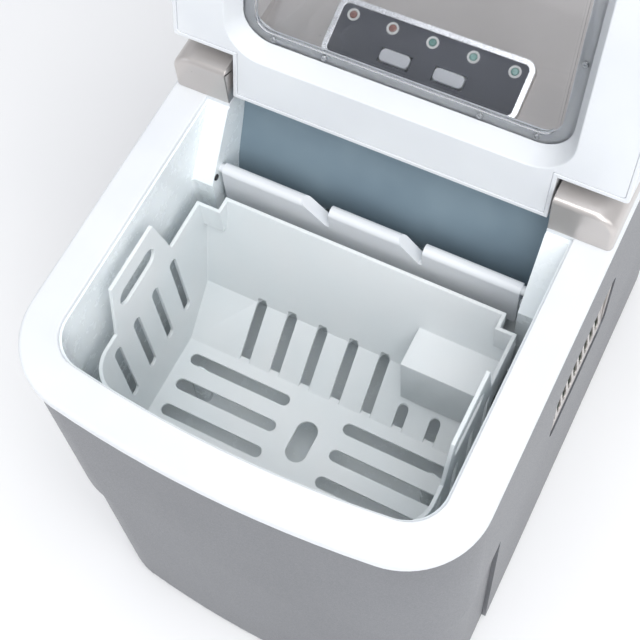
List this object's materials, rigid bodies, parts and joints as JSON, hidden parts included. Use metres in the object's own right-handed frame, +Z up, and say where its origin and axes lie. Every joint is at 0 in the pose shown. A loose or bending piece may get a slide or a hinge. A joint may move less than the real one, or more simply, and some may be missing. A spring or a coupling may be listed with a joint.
{
  "type": "ice maker",
  "caption": "Countertop ice maker with a hinged windowed lid, a lift-out ice basket in a water tank, a tilted control pod and its refrigeration parts inside",
  "frame": {"origin": "middle of the footprint, at the level the feet stand on", "axes": "+Z up, -Y is the front where the basket is, +X to the right of a person facing the front"},
  "size_m": [0.24, 0.358, 0.5125],
  "materials": {
    "silver_paint": "satin metallic silver paint on sheet steel",
    "silver_plastic": "metallic silver paint on moulded plastic",
    "white_plastic": "satin white moulded plastic",
    "liner_white": "smooth white moulded plastic",
    "frosted_plastic": "frosted translucent plastic",
    "smoke_plastic": "grey-blue plastic",
    "clear_plastic": "clear polycarbonate",
    "dark_overlay": "dark grey printed film",
    "bright_trim": "satin bright trim",
    "button_grey": "light grey moulded plastic",
    "lamp_red": "red-brown lens, unlit",
    "lamp_green": "green lens, unlit",
    "print_white": "white printed ring",
    "grey_plastic": "light grey moulded plastic",
    "black_plastic": "black moulded plastic",
    "galvanised_steel": "zinc-coated sheet steel",
    "black_enamel": "black stoved paint on pressed steel",
    "copper": "drawn copper tube",
    "nickel_plate": "nickel-plated copper",
    "aluminium_sheet": "rolled aluminium sheet",
    "steel": "bright steel",
    "black_rubber": "moulded rubber",
    "silicone": "translucent silicone",
    "foam": "expanded foam",
    "board_green": "solder mask on laminate"
  },
  "bodies": {
    "cabinet": {"base_pan": "galvanised_steel", "feet": "black_rubber", "outer_shell": "silver_paint", "vent_grille_right": "silver_plastic", "vent_grille_left": "silver_plastic", "rear_panel": "galvanised_steel", "rear_screws": "steel", "power_gland": "black_plastic", "top_rim": "white_plastic", "rear_housing": "silver_plastic", "panel_overlay": "dark_overlay", "panel_frame": "bright_trim", "lamps_red": "lamp_red", "lamps_green": "lamp_green", "lamp_rings": "print_white", "display_board": "board_green", "button_switches": "black_plastic", "inner_liner": "liner_white", "liner_screws": "steel", "tank_insulation": "foam", "sensor_left": "black_plastic", "sensor_right": "clear_plastic", "splash_guard": "smoke_plastic", "evaporator": "nickel_plate", "tray_motor": "black_plastic", "water_pump": "black_plastic", "pump_hose": "silicone", "main_board": "board_green", "board_standoffs": "grey_plastic", "board_parts": "black_plastic", "compressor": "black_enamel", "compressor_mounts": "black_rubber", "terminal_cover": "black_plastic", "condenser_tube": "copper", "condenser_fins": "aluminium_sheet", "fan_shroud": "black_plastic", "fan_motor": "steel", "filter_drier": "copper", "liquid_tube": "copper", "discharge_tube": "copper", "hot_gas_valve": "copper", "hot_gas_tube": "copper", "capillary_tube": "copper", "suction_tube": "copper", "drain_fitting": "black_plastic", "drain_hose": "silicone"},
    "lid": {"lid_frame": "white_plastic", "lid_inner_panel": "white_plastic", "lid_window": "clear_plastic", "window_screws": "steel", "hinge_pin_left": "steel", "hinge_pin_right": "steel"},
    "basket": {"ice_basket": "frosted_plastic"},
    "tray": {"water_tray": "smoke_plastic"},
    "pusher": {"ice_pusher": "white_plastic"},
    "make_button": {"button_make": "button_grey"},
    "size_button": {"button_size": "button_grey"},
    "fan": {"fan_blade": "black_plastic"},
    "plug": {"drain_plug": "black_rubber"}
  },
  "joints": [
    {"name": "lid_hinge", "type": "hinge", "parent": "cabinet", "child": "lid", "pos_m": [0, 0.02312, 0.31337], "axis": [1, 0, 0], "range_deg": [0, 101.58]},
    {"name": "basket_lift", "type": "slide", "parent": "cabinet", "child": "basket", "axis": [0, 0, 1], "range_m": [0, 0.2]},
    {"name": "tray_turn", "type": "hinge", "parent": "cabinet", "child": "tray", "pos_m": [0, 0.0388, 0.2404], "axis": [1, 0, 0], "range_deg": [0, 75]},
    {"name": "pusher_swing", "type": "hinge", "parent": "cabinet", "child": "pusher", "pos_m": [0, -0.0087, 0.2664], "axis": [1, 0, 0], "range_deg": [0, 20]},
    {"name": "make_press", "type": "slide", "parent": "cabinet", "child": "make_button", "axis": [0, 0.3843, -0.9232], "range_m": [0, 0.0008], "stiffness_N_per_m": 300},
    {"name": "size_press", "type": "slide", "parent": "cabinet", "child": "size_button", "axis": [0, 0.3843, -0.9232], "range_m": [0, 0.0008], "stiffness_N_per_m": 300},
    {"name": "fan_spin", "type": "hinge", "parent": "cabinet", "child": "fan", "pos_m": [-0.083, -0.005, 0.068], "axis": [1, 0, 0], "continuous": true},
    {"name": "plug_pull", "type": "slide", "parent": "cabinet", "child": "plug", "axis": [-1, 0, 0], "range_m": [0, 0.03]}
  ],
  "couplings": [
    {"joint": "pusher_swing", "follows": "tray_turn", "ratio": 0.26667}
  ]
}
